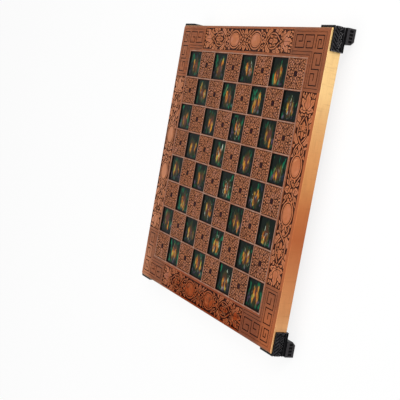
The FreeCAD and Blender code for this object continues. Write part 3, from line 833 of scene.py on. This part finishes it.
def stand(name: str, data: bpy.types.ID) -> bpy.types.Object:
    """Puts an object in the scene."""
    thing = bpy.data.objects.new(name, data)
    bpy.context.scene.collection.objects.link(thing)
    return thing


def as_mesh(name: str, source: BMesh) -> Mesh:
    """Mesh of a shape, which is freed."""
    mesh = bpy.data.meshes.new(name)
    source.to_mesh(mesh)
    source.free()
    return mesh


def settled(source: BMesh) -> BMesh:
    """Copy in metres of a shape in millimetres, which is freed, with its faces in one fixed order."""
    source.verts.index_update()
    rings = []
    for face in source.faces:
        ring = [vert.index for vert in face.verts]
        first = ring.index(min(ring))
        rings.append(ring[first:] + ring[:first])
    copy = bmesh.new()
    verts = [copy.verts.new(vert.co * MM) for vert in source.verts]
    for ring in sorted(rings):
        copy.faces.new([verts[number] for number in ring])
    source.free()
    return copy


def thinned(source: BMesh, share: float) -> Mesh:
    """Mesh in metres with a share of the triangles of a shape in millimetres, which is freed."""
    mesh = as_mesh("draft", settled(source))
    draft = stand("draft", mesh)
    draft.modifiers.new("Thin", "DECIMATE").ratio = share
    graph = bpy.context.evaluated_depsgraph_get()
    finished = bpy.data.meshes.new_from_object(draft.evaluated_get(graph))
    bpy.data.objects.remove(draft)
    bpy.data.meshes.remove(mesh)
    return finished


def place_piece(name: str, mesh: Mesh, material: Material) -> None:
    """Puts a finished mesh in the scene as a piece that rides with the board.

    Args:
        name: Name of the piece.
        mesh: Its mesh, in place.
        material: Its finish.
    """
    mesh.name = name
    mesh.materials.clear()
    mesh.materials.append(material)
    piece = stand(name, mesh)
    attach(piece, "root")
    LOG.info("%-34s %7d faces", name, len(mesh.polygons))


def place_round(name: str, master: Mesh, places: type[QuarterTurn], material: Material) -> None:
    """Puts a copy of a mesh from the first side or corner at each of them."""
    for place in places:
        mesh = master.copy()
        mesh.transform(place.turn)
        place_piece(name + place.name.lower(), mesh, material)


def flipped(points: Sequence[Point], side: int) -> list[Point]:
    """Points on one side of a middle line, or with -1 on the other."""
    return [(x, side * y) for x, y in points]


@dataclass
class BorderPanels:
    """The four sunk panels of the border: two ringed roundels and crossing stems of foliage.

    Leaves are given as base, tip, half width, bend and number of lobes, on one side of the middle line.
    """

    half_length: float = 145.5
    inner: float = 198.5
    outer: float = 235.6
    ease: float = 0.1
    pitch: float = 0.42
    spacing: float = 70.0
    disc: Point = (15.5, 11.75)
    ring_gap: float = 1.45
    ring_width: float = 2.5
    leaves: tuple = (((9, 4.0), (14.5, 17.0), 4.4, 1.2, 2), ((3.0, 7), (0.4, 18.2), 4.2, 0.4, 0),
                     ((65, 9), (47, 17.8), 4.4, 2.2, 3), ((98, 9), (114, 17.2), 5.2, 1.8, 3),
                     ((92, 12), (101, 18.0), 3.6, 0.8, 0), ((68, 7), (84, 17.6), 5.6, 1.6, 3))
    vine: tuple = ((53, 10), (58, 12.5), (65, 8), (73, -3.5), (83, -11.5), (95, -11), (105, -4.5), (112, 0.5))
    cross: tuple = ((-16, 11.5), (-8, 7.0), (8, -7.0), (16, -11.5), (22, -16.2))

    @property
    def middle(self) -> float:
        """Middle line of a panel, from the board's axis."""
        return (self.inner + self.outer) / 2

    def half_motifs(self, relief: Relief) -> None:
        """Lays the motifs of one half of a panel, in coordinates along and across it."""
        for base, tip, width, bend, lobes in self.leaves:
            for side in (1, -1):
                relief.leaf(*flipped((base, tip), side), width, side * bend, lobes)
        for side in (1, -1):
            relief.stem(flipped(self.vine, side), 2.6)
        relief.leaf((68, 0), (57.2, 0), 4.6, 0, 2)
        relief.palmette((88, 0), (15, 12.5, 9.5), 42, 0.34)
        relief.leaf((88, 0), (76.5, 0), 3.6)
        relief.palmette((119.5, 0), (25, 23.5, 18.2, 12.5), 46, 0.31)
        relief.disc((112, 0), 2.4)
        chosen, outside = relief.oval((self.spacing / 2, 0), self.disc)
        ring = np.abs(outside - self.ring_gap - self.ring_width / 2) - self.ring_width / 2
        relief.lay(chosen, ring, gap=0.9)
        relief.lay(chosen, outside, gap=0.0)

    def height(self, along: np.ndarray, across: np.ndarray) -> np.ndarray:
        """Height of a panel's face at points along and across it, from the floor."""
        floor = SIZES.carved_floor + GROUND
        mirrored = np.where(along < 0, -across, across)
        relief = Relief(np.abs(along), mirrored, SIZES.top - 0.03 - floor, 1.5, 0.6, 0.15)
        self.half_motifs(relief)
        for side in (1, -1):
            relief.stem(flipped(self.cross, side), 2.5, gap=0.9)
        relief.disc((0, 0), 3.2, gap=0.9)
        margin = np.minimum(self.half_length - relief.along, self.outer - self.middle - np.abs(relief.across))
        relief.fill(margin, 2.7, 3.8, 1.3)
        chosen, outside = relief.oval((self.spacing / 2, 0), self.disc)
        relief.cut(chosen, outside + 2.2, 1.0, 0.4)
        return floor + relief.height

    def build(self, finish: Material) -> None:
        """Builds one panel and its copies on the other sides."""
        low = (-self.half_length + self.ease, self.inner - self.middle + self.ease)
        high = (self.half_length - self.ease, self.outer - self.middle - self.ease)
        slab = shape_grid(low, high, self.pitch, SIZES.carved_floor - EMBED, self.height)
        turn = Matrix.Rotation(-math.pi / 2, 3, "Z")
        bmesh.ops.rotate(slab, cent=(0, 0, 0), matrix=turn, verts=slab.verts)
        bmesh.ops.translate(slab, vec=(self.middle, 0, 0), verts=slab.verts)
        place_round("carved_panel_", thinned(slab, 0.6), Side, finish)


@dataclass
class CarvedSquares:
    """The filigree of the light squares, in eight rows of four.

    The leaves are those of the plate below, as base, tip and half width in half squares.
    """

    sunk_half: float = 22.95
    half: float = 22.85
    pitch: float = 0.42
    boss: float = 3.7
    leaves: tuple = (((0.27, 0.0), (0.96, 0.0), 0.165), ((0.21, 0.21), (0.94, 0.94), 0.14),
                     ((0.66, 0.30), (0.955, 0.60), 0.085))

    def height(self, along: np.ndarray, across: np.ndarray) -> np.ndarray:
        """Height of a square's face, which has four axes of symmetry."""
        floor = SIZES.carved_floor + GROUND
        a, b = np.abs(along), np.abs(across)
        relief = Relief(np.maximum(a, b), np.minimum(a, b), SIZES.top - 0.15 - floor, 0.8, 0.5, 0.0, 0.94)
        relief.leaf((14.8, 6.3), (22.5, 14.5), 3.0, vein=1.0, ribs=4.4)
        relief.leaf((17.3, 4.4), (22.7, 5.6), 1.9, vein=0)
        relief.leaf((19.0, 15.6), (22.7, 18.8), 1.9, vein=0)
        relief.leaf((3.2, 3.2), (22.5, 22.5), 4.3, vein=1.25, ribs=5.0)
        relief.leaf((4.1, 0), (22.7, 0), 4.6, vein=1.25, ribs=5.0)
        half = self.sunk_half
        relief.bed([((xa * half, ya * half), (xb * half, yb * half), wide * half)
                    for (xa, ya), (xb, yb), wide in self.leaves], SIZES.top - 0.48 - floor)
        return floor + np.where(np.hypot(a, b) < self.boss, 0.0, relief.height)

    def build(self, finish: Material) -> None:
        """Builds one square and lays copies of it in rows."""
        slab = shape_grid((-self.half, -self.half), (self.half, self.half), self.pitch,
                          SIZES.carved_floor - EMBED, self.height)
        master = thinned(slab, 0.5)
        for rank in range(SIZES.squares):
            row = bmesh.new()
            for file in range(1 - rank % 2, SIZES.squares, 2):
                before = len(row.verts)
                row.from_mesh(master)
                row.verts.ensure_lookup_table()
                shift = (SIZES.centre(file) * MM, SIZES.centre(rank) * MM, 0)
                bmesh.ops.translate(row, vec=shift, verts=row.verts[before:])
            name = "carved_squares_rank_%d" % (rank + 1)
            place_piece(name, as_mesh("row", row), finish)


@dataclass
class BracketOrnament:
    """The cast relief that wraps each bracket: slanted ribs over a ledge, scrolls below, and two beads."""

    corner_round: float = 0.65
    skin: float = 0.3
    proud: float = 1.15
    pitch: float = 0.36
    back: float = 0.6
    repeat: float = 13.0
    rib_band: float = 8.2
    rib_pitch: float = 5.6

    @property
    def tall(self) -> float:
        """Height of the bracket's wall."""
        return SIZES.wall_top - SIZES.wall_base

    @property
    def arc(self) -> float:
        """Length of the strip that goes round the corner."""
        return self.corner_round * math.pi / 2

    def height(self, along: np.ndarray, up: np.ndarray) -> np.ndarray:
        """Height over the wall at points along the wall, from the corner, and up it."""
        run = np.abs(along)
        relief = Relief(run, up, self.proud, gap=0.5, wall=0.6)
        level = self.tall - self.rib_band
        relief.stem([(-1, 1.4), (40, 1.4)], 1.1, gap=0, steps=1)
        relief.stem([(-1, 3.1), (40, 3.1)], 0.9, level=0.7, gap=0, steps=1)
        for shift in (0.0, self.repeat):
            relief.scroll((8.6 + shift, 6.9), 3.0, 250, 1.2, 1.1)
            relief.scroll((15.0 + shift, 7.2), 2.8, 70, 1.2, 1.1)
            link = ((8.6, 9.8), (11.6, 8.2), (12.2, 6.0), (15.0, 4.6))
            relief.stem([(x + shift, y) for x, y in link], 1.1)
        relief.leaf((0, 4.4), (0, 10.2), 2.6)
        relief.leaf((1.5, 4.8), (5.0, 9.4), 1.3, 0.5, vein=0)
        relief.leaf((33.6, 4.6), (32.2, 10.0), 1.4, 0.4, vein=0)
        relief.disc((18.2, 9.4), 1.0)
        relief.disc((18.4, 4.8), 0.9)
        ribs = np.abs(np.sin(math.pi * ((run + 0.85 * (up - level)) / self.rib_pitch))) ** 0.9
        band = np.clip((up - level - 0.4) / 0.5, 0, 1) * np.clip((self.tall - 0.9 - up) / 0.6, 0, 1)
        height = np.maximum(relief.height, self.proud * (0.12 + 0.88 * ribs) * band)
        ledge = np.clip(1.4 - np.abs(up - level) / 0.55, 0, 1)
        lip = np.clip(1.3 - np.abs(up - self.tall + 0.5) / 0.5, 0, 1)
        end = np.clip(1.4 - np.abs(run - SIZES.arm + 0.8) / 0.6, 0, 1)
        return self.skin + np.maximum(height, self.proud * np.maximum(np.maximum(ledge, lip), end))

    def wrap(self, along: float, up: float, out: float) -> Vector:
        """Place of a point of the flat strip once it is bent round the back right corner."""
        centre = SIZES.wall_half - self.corner_round
        reach = self.corner_round + out
        if abs(along) <= self.arc / 2:
            turn = math.pi / 4 - along / self.corner_round
            x, y = centre + reach * math.cos(turn), centre + reach * math.sin(turn)
        else:
            far = centre - (abs(along) - self.arc / 2)
            near = SIZES.wall_half + out
            x, y = (far, near) if along < 0 else (near, far)
        return Vector((x, y, SIZES.wall_base + up))

    def crease(self, strip: BMesh, reach: float) -> None:
        """Splits the flat strip's back at the columns of its face near the corner, so that it can bend."""
        for column in sorted({round(vert.co.x, 4) for vert in strip.verts if abs(vert.co.x) < reach}):
            parts = dict.fromkeys(part for face in strip.faces if len(face.verts) > 4
                                  for part in (face, *face.edges, *face.verts))
            bmesh.ops.bisect_plane(strip, geom=list(parts), dist=0.001, plane_co=(column, 0, 0),
                                   plane_no=(1, 0, 0))

    def build(self, finish: Material) -> None:
        """Builds the strip, bends it round one corner and copies it to the others."""
        half = SIZES.arm - self.corner_round + self.arc / 2 - 0.1
        strip = shape_grid((-half, 0.05), (half, self.tall - 0.15), self.pitch, -self.back, self.height)
        self.crease(strip, self.arc)
        for vert in strip.verts:
            vert.co = self.wrap(vert.co.x, vert.co.y, vert.co.z)
        if strip.calc_volume(signed=True) < 0:
            bmesh.ops.reverse_faces(strip, faces=strip.faces)
        place_round("bracket_ornament_", thinned(strip, 0.7), Corner, finish)


@dataclass
class FrameFinish:
    """Finishes of the pieces that keep their shape from the frame, with softened edges."""

    nodes: dict[str, bpy.types.Object]
    weld: float = 0.01
    sharp: float = 35.0

    def dress(self, name: str, finish: Material, bevel: float = 0.0) -> None:
        """Gives a frame node its finish and rounds its sharp edges.

        Args:
            name: Name of the node, or the start of several names.
            finish: Its material.
            bevel: Radius of the rounding in millimetres, or 0.
        """
        for node_name, node in self.nodes.items():
            if not node_name.startswith(name):
                continue
            node.data.materials.clear()
            node.data.materials.append(finish)
            if bevel:
                node.modifiers.new("Weld", "WELD").merge_threshold = self.weld * MM
                modifier = node.modifiers.new("Soft edges", "BEVEL")
                modifier.width = bevel * MM
                modifier.segments = 2
                modifier.limit_method = "ANGLE"
                modifier.angle_limit = math.radians(self.sharp)
            LOG.info("%-34s from the frame", node_name)


@dataclass
class Studio:
    """Pale floor, soft lights and the camera at the photograph's angle."""

    place: tuple = (0.1026, -1.3249, 0.7814)
    lens: float = 81.79
    right: tuple = (0.17564, -0.44868, -0.87626)
    up: tuple = (0.97886, 0.17435, 0.10693)
    back: tuple = (0.10480, -0.87652, 0.46982)
    paper: Colour = (0.94, 0.94, 0.94, 1)
    glow: float = 0.85
    floor_half: float = 60.0

    def camera(self) -> None:
        """Stands the camera."""
        data = bpy.data.cameras.new("camera")
        data.lens = self.lens
        data.sensor_width = 36.0
        camera = stand("camera", data)
        turn = Matrix((self.right, self.up, self.back)).transposed().to_4x4()
        camera.matrix_world = Matrix.Translation(self.place) @ turn
        bpy.context.scene.camera = camera

    def seen(self, sheet: NodeSheet) -> Signal:
        """1 where a ray from the camera, a gloss or a glass meets the backdrop, and 0 for the rest."""
        rays = sheet.add("LightPath", output="Is Camera Ray")
        for kind in ("Is Glossy Ray", "Is Transmission Ray"):
            rays = rays.most(sheet.add("LightPath", output=kind))
        return rays

    def floor(self) -> None:
        """Lays a floor that looks white and keeps the board's shadow."""
        plane = bmesh.new()
        bmesh.ops.create_grid(plane, x_segments=1, y_segments=1, size=self.floor_half)
        floor = stand("floor", as_mesh("floor", plane))
        sheet = NodeSheet(bpy.data.materials.new("floor_paper"))
        paper = sheet.add("BsdfDiffuse", {"Color": self.paper})
        share = self.seen(sheet) * self.glow
        sheet.end("ShaderNodeOutputMaterial", sheet.add("MixShader", (share, paper, sheet.add("Emission"))))
        floor.data.materials.append(sheet.owner)

    def lamp(self, name: str, place: tuple[float, float, float], size: float, power: float) -> None:
        """Hangs a square soft lamp that faces the board."""
        data = bpy.data.lights.new(name, "AREA")
        data.size = size
        data.energy = power
        lamp = stand(name, data)
        lamp.location = place
        lamp.rotation_mode = "QUATERNION"
        lamp.rotation_quaternion = (-Vector(place)).to_track_quat("-Z", "Y")

    def world(self) -> None:
        """Surrounds the board with white light, dimmer towards the horizon, and a white backdrop."""
        world = bpy.data.worlds.new("studio")
        bpy.context.scene.world = world
        sheet = NodeSheet(world)
        rise = sheet.axes(sheet.add("TexCoord", output="Generated"))[2].span(0.3, 1.0, 0.18, 1.0)
        sky = sheet.add("Background", {"Color": (1, 1, 1, 1), "Strength": rise.most(self.seen(sheet))})
        sheet.end("ShaderNodeOutputWorld", sky)

    def build(self) -> None:
        """Sets up the whole studio."""
        bpy.context.scene.view_settings.view_transform = "Standard"
        self.camera()
        self.floor()
        self.world()
        self.lamp("key", (1.1, -1.5, 1.3), 0.9, 20)
        self.lamp("overhead", (-0.3, 0.4, 1.9), 1.6, 9)


def main() -> None:
    """Builds the looks of the chessboard round its frame."""
    logging.basicConfig(level=logging.INFO, format="%(message)s")
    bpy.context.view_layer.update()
    carving = StainedCarving(relief_piece=True).make()
    casting = BlackCasting(relief_piece=True).make()
    finisher = FrameFinish(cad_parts)
    finisher.dress("carved_top", StainedCarving(relief_piece=False).make())
    finisher.dress("enamel_tile", PaintedEnamel().make(), 0.15)
    finisher.dress("centre_dots", PLUM_ENAMEL.make())
    finisher.dress("core_panel", CorePlywood().make())
    finisher.dress("back_panel", BackVeneer().make())
    along_x, along_y = PaleHardwood(Grain.X).make(), PaleHardwood(Grain.Y).make()
    for side in Side:
        wood = along_y if side in (Side.RIGHT, Side.LEFT) else along_x
        finisher.dress("edge_rail_" + side.name.lower(), wood)
    finisher.dress("corner_bracket", BlackCasting(relief_piece=False).make(), 0.35)
    finisher.dress("foot_pad", GREY_RUBBER.make(), 0.2)
    finisher.dress("bracket_screws", BRIGHT_STEEL.make())
    BorderPanels().build(carving)
    CarvedSquares().build(carving)
    BracketOrnament().build(casting)
    Studio().build()


if __name__ == "__main__":
    main()
